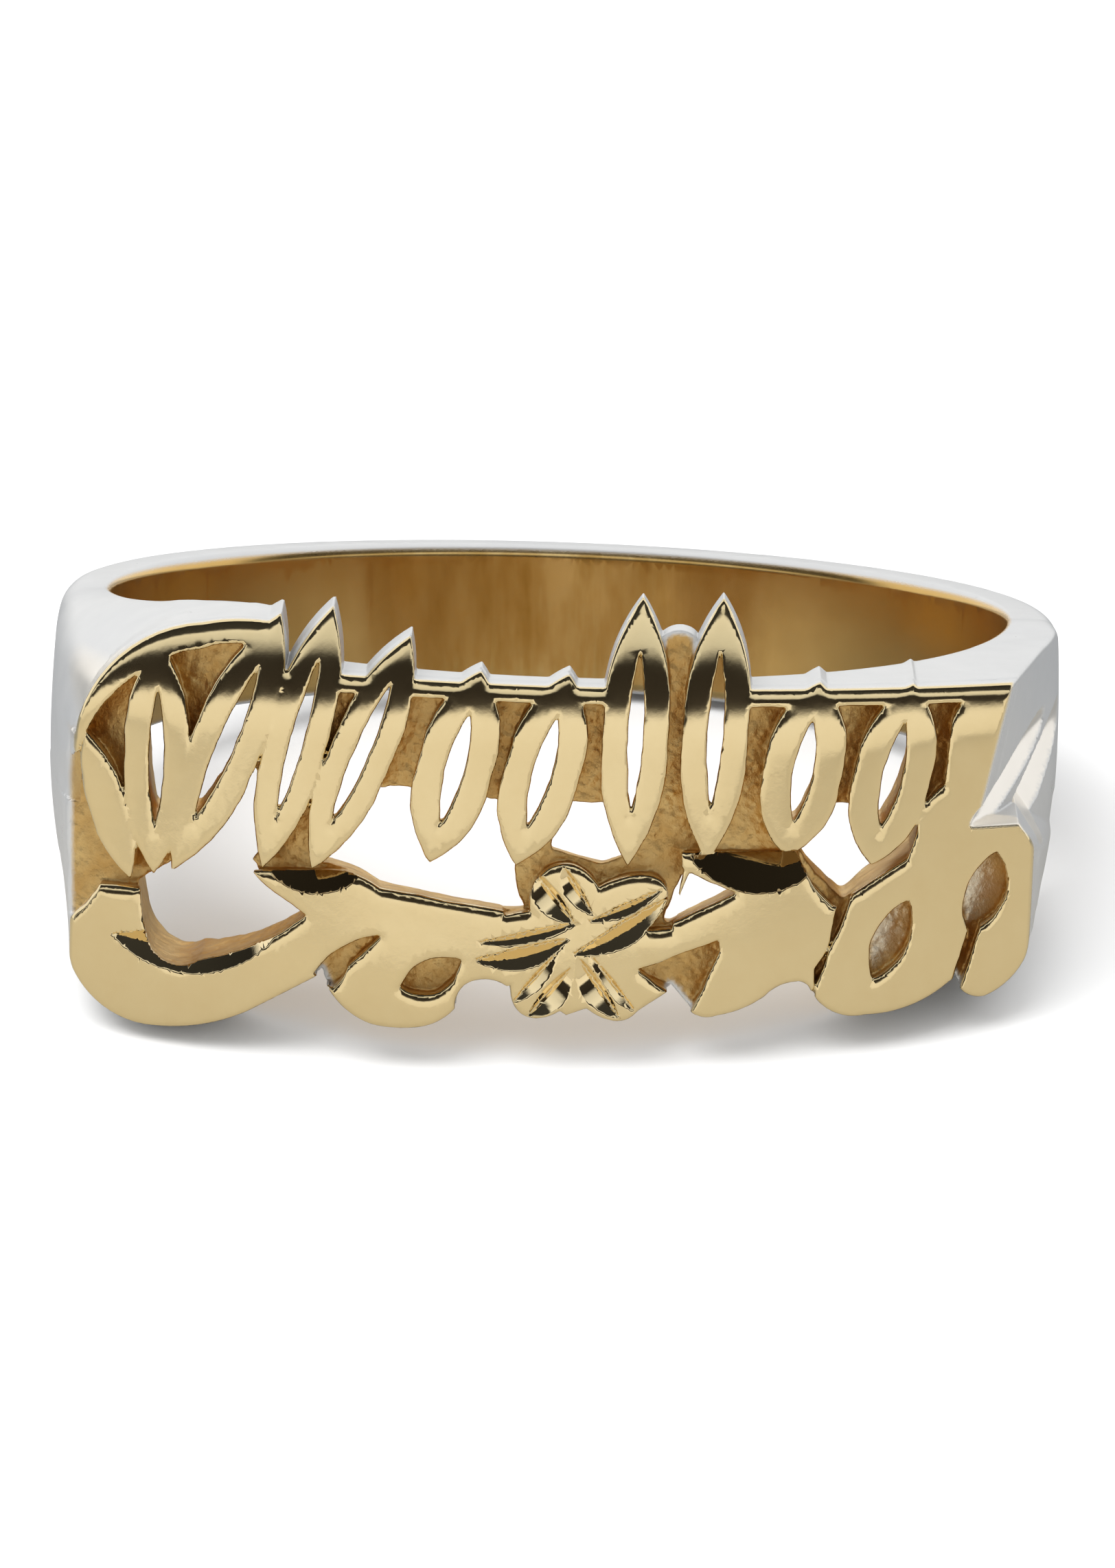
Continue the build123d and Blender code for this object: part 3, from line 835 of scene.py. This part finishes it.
def zones(points):
    """How far each point belongs to each kind of surface, and where highlight and shade are painted: all but
    the silvery outside have a name here.
    """
    x, y, z = points.astype(np.float32).T
    front = front_distance(x, y, z)
    facet = facet_cut(x, y, z)
    mirrors = np.abs(mirror_facets(x, y, z))
    polished = smooth(*on_front_fade, np.abs(front)) * smooth(*off_facet_fade, -facet) * (y < face_zone_y)
    cut = smooth(*on_cut_fade, np.minimum(mirrors, np.abs(flower_cuts(x, y, z))))
    shaded = smooth(*on_cut_fade, mirrors) * (z > low_row_z)
    bore = smooth(*in_bore_fade, np.abs(np.hypot(x, y) - bore_r))
    inner = smooth(*inside_edge_fade, face.read(rim_field, x, z)) * smooth(*behind_front_fade, front)
    inner = inner * smooth(*inside_wall_fade, -side_walls(x, y, z)) * smooth(*inside_facet_fade, -facet)
    cast = inner * smooth(*off_hollow_fade, hollows(x, y, z)) * (1 - bore) * (y < face_zone_y)
    pale = cast * smooth(*in_pocket_fade, face.read(pockets, x, z)) * (1 - cut)
    scoops = smooth(*in_scoop_fade, scooped(facet_place(x, y)[0], z)) * smooth(*on_facet_fade, facet)
    corner = smooth(*on_corner_fade, np.abs(corner_cut(x, y, z)))
    corner = corner * smooth(*corner_back_fade, y - corner_end_y)
    # painted highlight: the scoops on the right and the sloping corner on the left get a pale, fully metallic
    # colour
    painted_highlight = np.where(x > 0, scoops, corner) * (1 - polished) * (1 - inner) * (1 - bore)
    return {"polished": polished, "cut": cut, "cast": cast * (1 - cut), "bore": bore, "painted_highlight": painted_highlight,
            "pale": pale, "shaded": shaded}


def store(mesh, name, values):
    attribute = mesh.attributes.new(name, "FLOAT", "CORNER")
    attribute.data.foreach_set("value", values.astype(np.float32))


def corner_spots(mesh, points):
    """For each corner of each face: its vertex, and a spot on the face a little way in from it."""
    vertices = np.zeros(len(mesh.loops), np.int32)
    mesh.loops.foreach_get("vertex_index", vertices)
    starts = np.zeros(len(mesh.polygons), np.int32)
    mesh.polygons.foreach_get("loop_start", starts)
    corners = np.zeros(len(mesh.polygons), np.int32)
    mesh.polygons.foreach_get("loop_total", corners)
    places = points[vertices]
    middles = np.add.reduceat(places, starts, axis=0) / corners[:, None]
    return vertices, places + (np.repeat(middles, corners, axis=0) - places) * corner_share


def unit(rows):
    return rows / np.linalg.norm(rows, axis=1)[:, None]


def corner_normals(points, vertices, spots):
    """Smooth normals, but where a larger face reaches over a crease, the normals of that face."""
    normals = unit(slope(points, slope_step))[vertices]
    large = np.linalg.norm(spots - points[vertices], axis=1) > corner_reach
    inner = unit(slope(spots[large], slope_step))
    bent = (inner * normals[large]).sum(axis=1) < math.cos(math.radians(crease_deg))
    chosen = np.flatnonzero(large)[bent]
    normals[chosen] = inner[bent]
    return normals


mesh, points = build_ring()
vertices, spots = corner_spots(mesh, points)
normals = corner_normals(points, vertices, spots)
zone_shares = zones(spots)
zone_names = list(zone_shares)
for name, values in zone_shares.items():
    store(mesh, name, values)
turn_array = np.array(turn)
placed = (points @ turn_array.T + np.array(origin)) / 1000
mesh.vertices.foreach_set("co", placed.ravel().astype(np.float32))
mesh.update()
mesh.shade_smooth()
mesh.normals_split_custom_set((normals @ turn_array.T).tolist())
ring = bpy.data.objects.new("ring_cast_gold", mesh)
bpy.context.scene.collection.objects.link(ring)


# Materials. Tones are pairs of colours that a noise mixes; a noise is its cells per metre, its detail and its
# roughness.

face_tones = ((0.81, 0.64, 0.35), (0.94, 0.80, 0.50))
rim_tones = ((0.58, 0.59, 0.60), (0.66, 0.66, 0.65))
cast_tones = ((0.52, 0.25, 0.04), (1.0, 0.78, 0.38))
# the bore's gold is painted darker and more orange, as painted shade inside the band; its paler tone makes
# the painted highlight streaks
bore_shade_tones = ((0.62, 0.37, 0.09), (0.95, 0.70, 0.32))
cut_tones = ((0.93, 0.77, 0.47), (0.42, 0.30, 0.15))  # in the open, and shaded
# pale colour of the painted highlight on the scoops and the sloping corner
painted_highlight_tone = (0.93, 0.89, 0.82)
pale_tone = (0.99, 0.90, 0.74)

rim_rough = 0.32
face_rough = 0.09
bore_rough = 0.24
cast_rough = 0.42
cut_rough = 0.04
rough_spread = (0.6, 0.7)  # the haze's share in a roughness, and what is left without it
rim_metallic = 0.55

tint_noise = (260.0, 3.0, 0.5)
mottle_noise = (1800.0, 6.0, 0.7)
cast_noise = (1600.0, 5.0, 0.65)
haze_noise = (1500.0, 5.0, 0.5)
bump_noise = (3200.0, 5.0, 0.6)
streak_noise = (1300.0, 4.0, 0.6)
bump_strength = (0.8, 0.02)  # for each part of cast skin, and everywhere
bump_height = 0.00005

# Upright streaks of painted highlight in the bore:
streak_stretch = (1.0, 1.0, 0.12)
streak_contrast = (4.0, -1.5)
streaks_fade = -180.0  # the streaks fade out sideways by this much for each metre
streak_share = 0.8
soft_share = 0.75


class Nodes:
    """Short-hand for building a node tree."""

    def __init__(self, tree):
        self.tree = tree
        tree.nodes.clear()

    def add(self, kind, inputs=(), **settings):
        node = self.tree.nodes.new(kind)
        for key, value in settings.items():
            setattr(node, key, value)
        for key, value in dict(inputs).items():
            if isinstance(value, bpy.types.NodeSocket):
                self.tree.links.new(value, node.inputs[key])
            else:
                node.inputs[key].default_value = value
        return node

    def math(self, operation, *values, clamp=False):
        node = self.add("ShaderNodeMath", dict(enumerate(values)), operation=operation, use_clamp=clamp)
        return node.outputs[0]

    def attribute(self, name):
        return self.add("ShaderNodeAttribute", attribute_name=name).outputs["Fac"]

    def mix(self, share, a, b):
        node = self.add("ShaderNodeMix", {"Factor": share, "A": a, "B": b}, data_type="FLOAT")
        return node.outputs["Result"]

    def mix_colour(self, share, a, b):
        node = self.add("ShaderNodeMix", data_type="RGBA")
        for key, value in (("Factor", share), ("A", a), ("B", b)):
            socket = next(s for s in node.inputs if s.name == key and s.enabled)
            if isinstance(value, bpy.types.NodeSocket):
                self.tree.links.new(value, socket)
            else:
                socket.default_value = value
        return next(s for s in node.outputs if s.enabled)

    def tones(self, share, pair):
        return self.mix_colour(share, colour(*pair[0]), colour(*pair[1]))

    def noise(self, place, scale, detail, roughness):
        inputs = {"Vector": place, "Scale": scale, "Detail": detail, "Roughness": roughness}
        return self.add("ShaderNodeTexNoise", inputs).outputs["Fac"]

    def ramp(self, value, stops):
        node = self.add("ShaderNodeValToRGB", {"Fac": value})
        ramp = node.color_ramp
        while len(ramp.elements) < len(stops):
            ramp.elements.new(0.5)
        for element, (place, tone) in zip(ramp.elements, stops):
            element.position = place
            element.color = tone
        return node.outputs["Color"]


def colour(r, g, b):
    return (r, g, b, 1.0)


def bore_highlight_streaks(n, place):
    """Pale shares of the bore's colour: soft, with upright streaks of painted highlight near the middle of
    its back.
    """
    stretched = n.add("ShaderNodeVectorMath", {0: place, 1: streak_stretch}, operation="MULTIPLY").outputs[0]
    x = n.add("ShaderNodeSeparateXYZ", {"Vector": place}).outputs[0]
    middle = n.math("MULTIPLY_ADD", n.math("ABSOLUTE", x), streaks_fade, 1.0, clamp=True)
    sharp = n.math("MULTIPLY_ADD", n.noise(stretched, *streak_noise), *streak_contrast, clamp=True)
    soft = n.math("MULTIPLY", n.noise(place, *tint_noise), soft_share)
    return n.mix(n.math("MULTIPLY", middle, streak_share), soft, sharp)


def gold_colour(n, place, zone):
    tint = n.noise(place, *tint_noise)
    fine = n.noise(place, *mottle_noise)
    mottle = n.math("ADD", n.math("MULTIPLY", tint, 0.5), n.math("MULTIPLY", fine, 0.5))
    # the silvery outside, with painted highlight on its scoops and sloping corner
    rim_colour = n.mix_colour(zone["painted_highlight"], n.tones(tint, rim_tones), colour(*painted_highlight_tone))
    cast_colour = n.tones(n.noise(place, *cast_noise), cast_tones)
    cast_colour = n.mix_colour(zone["pale"], cast_colour, colour(*pale_tone))
    base = n.mix_colour(zone["polished"], rim_colour, n.tones(mottle, face_tones))
    # the bore: painted shade, with streaks of painted highlight
    base = n.mix_colour(zone["bore"], base, n.tones(bore_highlight_streaks(n, place), bore_shade_tones))
    base = n.mix_colour(zone["cast"], base, cast_colour)
    return n.mix_colour(zone["cut"], base, n.tones(zone["shaded"], cut_tones))


def gold_roughness(n, place, zone):
    rough = n.mix(zone["polished"], rim_rough, face_rough)
    rough = n.mix(zone["bore"], rough, bore_rough)
    rough = n.mix(zone["cast"], rough, cast_rough)
    rough = n.mix(zone["cut"], rough, cut_rough)
    haze = n.noise(place, *haze_noise)
    return n.math("MULTIPLY", rough, n.math("MULTIPLY_ADD", haze, *rough_spread))


def gold_material():
    """Polished face, cuts and bore and rough cast ground in gold; the outside is polished, and silvery."""
    material = bpy.data.materials.new("polished_gold")
    material.use_nodes = True
    n = Nodes(material.node_tree)
    place = n.add("ShaderNodeTexCoord").outputs["Object"]
    zone = {name: n.attribute(name) for name in zone_names}

    height = n.noise(place, *bump_noise)
    strength = n.math("MULTIPLY_ADD", zone["cast"], *bump_strength)
    bump = n.add("ShaderNodeBump", {"Height": height, "Strength": strength, "Distance": bump_height})
    golden = n.math("ADD", zone["polished"], zone["bore"])
    golden = n.math("ADD", golden, n.math("ADD", zone["cast"], zone["cut"]), clamp=True)
    inputs = {
        "Base Color": gold_colour(n, place, zone),
        "Metallic": n.mix(n.math("MAXIMUM", golden, zone["painted_highlight"]), rim_metallic, 1.0),
        "Roughness": gold_roughness(n, place, zone),
        "Normal": bump.outputs[0],
    }
    shader = n.add("ShaderNodeBsdfPrincipled", inputs)
    n.add("ShaderNodeOutputMaterial", {"Surface": shader.outputs[0]})
    return material


ring.data.materials.append(gold_material())
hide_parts("ring")
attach(ring, "root")


# Studio.

floor_tones = ((0.90, 0.90, 0.90), (0.92, 0.92, 0.92))
floor_half = 0.4
floor_noise = (40.0, 3.0, 0.5)
floor_rough = 0.9
front_floor = (0.45, 0.42, 0.36)  # the floor as the metal mirrors it: in front, behind, and far behind
behind_floor = (0.21, 0.22, 0.23)
far_floor = (0.95, 0.94, 0.92)
behind_step = (60.0, 0.5)  # each sets in by the first number for each metre back, plus the second
far_step = (40.0, -1.4)

# The room as the metal mirrors it: height over the front's horizon in half turns, and the colour there.
ROOM = [
    (0.0, (0.86, 0.82, 0.74)),
    (0.068, (0.95, 0.92, 0.86)),
    (0.085, (0.035, 0.03, 0.026)),
    (0.175, (0.024, 0.021, 0.018)),
    (0.205, (0.7, 0.7, 0.68)),
    (0.28, (0.9, 0.9, 0.88)),
    (0.305, (0.04, 0.04, 0.04)),
    (0.60, (0.02, 0.02, 0.02)),
    (0.63, (1.0, 1.0, 1.0)),
    (0.85, (0.95, 0.95, 0.95)),
    (1.0, (1.0, 1.0, 1.0)),
]

softbox_size = (0.2, 0.15)
softbox_energy = 0.45
softbox_place = (-0.08, -0.10, 0.22)


def floor_material():
    material = bpy.data.materials.new("pale_floor")
    material.use_nodes = True
    n = Nodes(material.node_tree)
    place = n.add("ShaderNodeTexCoord").outputs["Object"]
    mirrored = n.add("ShaderNodeLightPath").outputs["Is Glossy Ray"]
    y = n.add("ShaderNodeSeparateXYZ", {"Vector": place}).outputs[1]
    behind = n.math("MULTIPLY_ADD", y, *behind_step, clamp=True)
    far_behind = n.math("MULTIPLY_ADD", y, *far_step, clamp=True)
    mirror_colour = n.mix_colour(behind, colour(*front_floor), colour(*behind_floor))
    mirror_colour = n.mix_colour(far_behind, mirror_colour, colour(*far_floor))
    pale = n.tones(n.noise(place, *floor_noise), floor_tones)
    seen = n.mix_colour(mirrored, pale, mirror_colour)
    shader = n.add("ShaderNodeBsdfPrincipled", {"Base Color": seen, "Roughness": floor_rough})
    n.add("ShaderNodeOutputMaterial", {"Surface": shader.outputs[0]})
    return material


def build_floor():
    corners = [(x * floor_half, y * floor_half, 0) for x, y in ((-1, -1), (1, -1), (1, 1), (-1, 1))]
    mesh = bpy.data.meshes.new("floor")
    mesh.from_pydata(corners, [], [(0, 1, 2, 3)])
    floor = bpy.data.objects.new("floor", mesh)
    bpy.context.scene.collection.objects.link(floor)
    mesh.materials.append(floor_material())


def build_world():
    """White room for the floor and the camera; the metal mirrors the tones of ROOM instead."""
    world = bpy.data.worlds.new("studio")
    bpy.context.scene.world = world
    world.use_nodes = True
    n = Nodes(world.node_tree)
    way = n.add("ShaderNodeTexCoord").outputs["Generated"]
    parts = n.add("ShaderNodeSeparateXYZ", {"Vector": way})
    _, y, z = parts.outputs
    over = n.math("ARCTAN2", z, n.math("MULTIPLY", y, -1.0))
    share = n.math("DIVIDE", over, math.pi)
    mirrored = n.ramp(share, [(height, colour(*tone)) for height, tone in ROOM])
    glossy = n.add("ShaderNodeLightPath").outputs["Is Glossy Ray"]
    seen = n.mix_colour(glossy, colour(1.0, 1.0, 1.0), mirrored)
    background = n.add("ShaderNodeBackground", {"Color": seen, "Strength": 1.0})
    n.add("ShaderNodeOutputWorld", {"Surface": background.outputs[0]})


def build_light():
    data = bpy.data.lights.new("softbox", "AREA")
    data.shape = "RECTANGLE"
    data.size, data.size_y = softbox_size
    data.energy = softbox_energy
    light = bpy.data.objects.new("softbox", data)
    bpy.context.scene.collection.objects.link(light)
    light.location = softbox_place
    light.rotation_euler = (-light.location).to_track_quat("-Z", "Y").to_euler()
    light.visible_glossy = False


camera_tilt_deg = 9.3  # above the plane of the ring's rim
camera_roll_deg = 2.0
camera_distance = 220.0
camera_lens = 261.1
focal_px = 16566.0  # the same lens, for an image of 1624 x 2284
origin_px = (814.0, 877.0)  # where the ring's origin lands in the picture
image_px = (1624, 2284)
camera_sensor = 36.0
camera_clip = (0.01, 5.0)


def build_camera():
    tilt, roll = math.radians(camera_tilt_deg), math.radians(camera_roll_deg)
    forward = Vector((0, math.cos(tilt), -math.sin(tilt)))
    level_up = Vector((0, math.sin(tilt), math.cos(tilt)))
    right = math.cos(roll) * Vector((1, 0, 0)) + math.sin(roll) * level_up
    up = math.cos(roll) * level_up - math.sin(roll) * Vector((1, 0, 0))
    place = to_row(-camera_distance * forward)
    down = (image_px[1] / 2 - origin_px[1]) / focal_px
    aside = (origin_px[0] - image_px[0] / 2) / focal_px
    aim = (forward - down * up - aside * right).normalized()
    up = (up - up.dot(aim) * aim).normalized()
    axes = Matrix((aim.cross(up), up, -aim)).transposed()
    data = bpy.data.cameras.new("camera")
    data.lens = camera_lens
    data.sensor_width = camera_sensor
    data.clip_start, data.clip_end = camera_clip
    camera = bpy.data.objects.new("camera", data)
    bpy.context.scene.collection.objects.link(camera)
    camera.matrix_world = Matrix.Translation(place) @ (turn @ axes).to_4x4()
    bpy.context.scene.camera = camera


build_floor()
build_world()
build_light()
build_camera()
bpy.context.scene.view_settings.view_transform = "Standard"
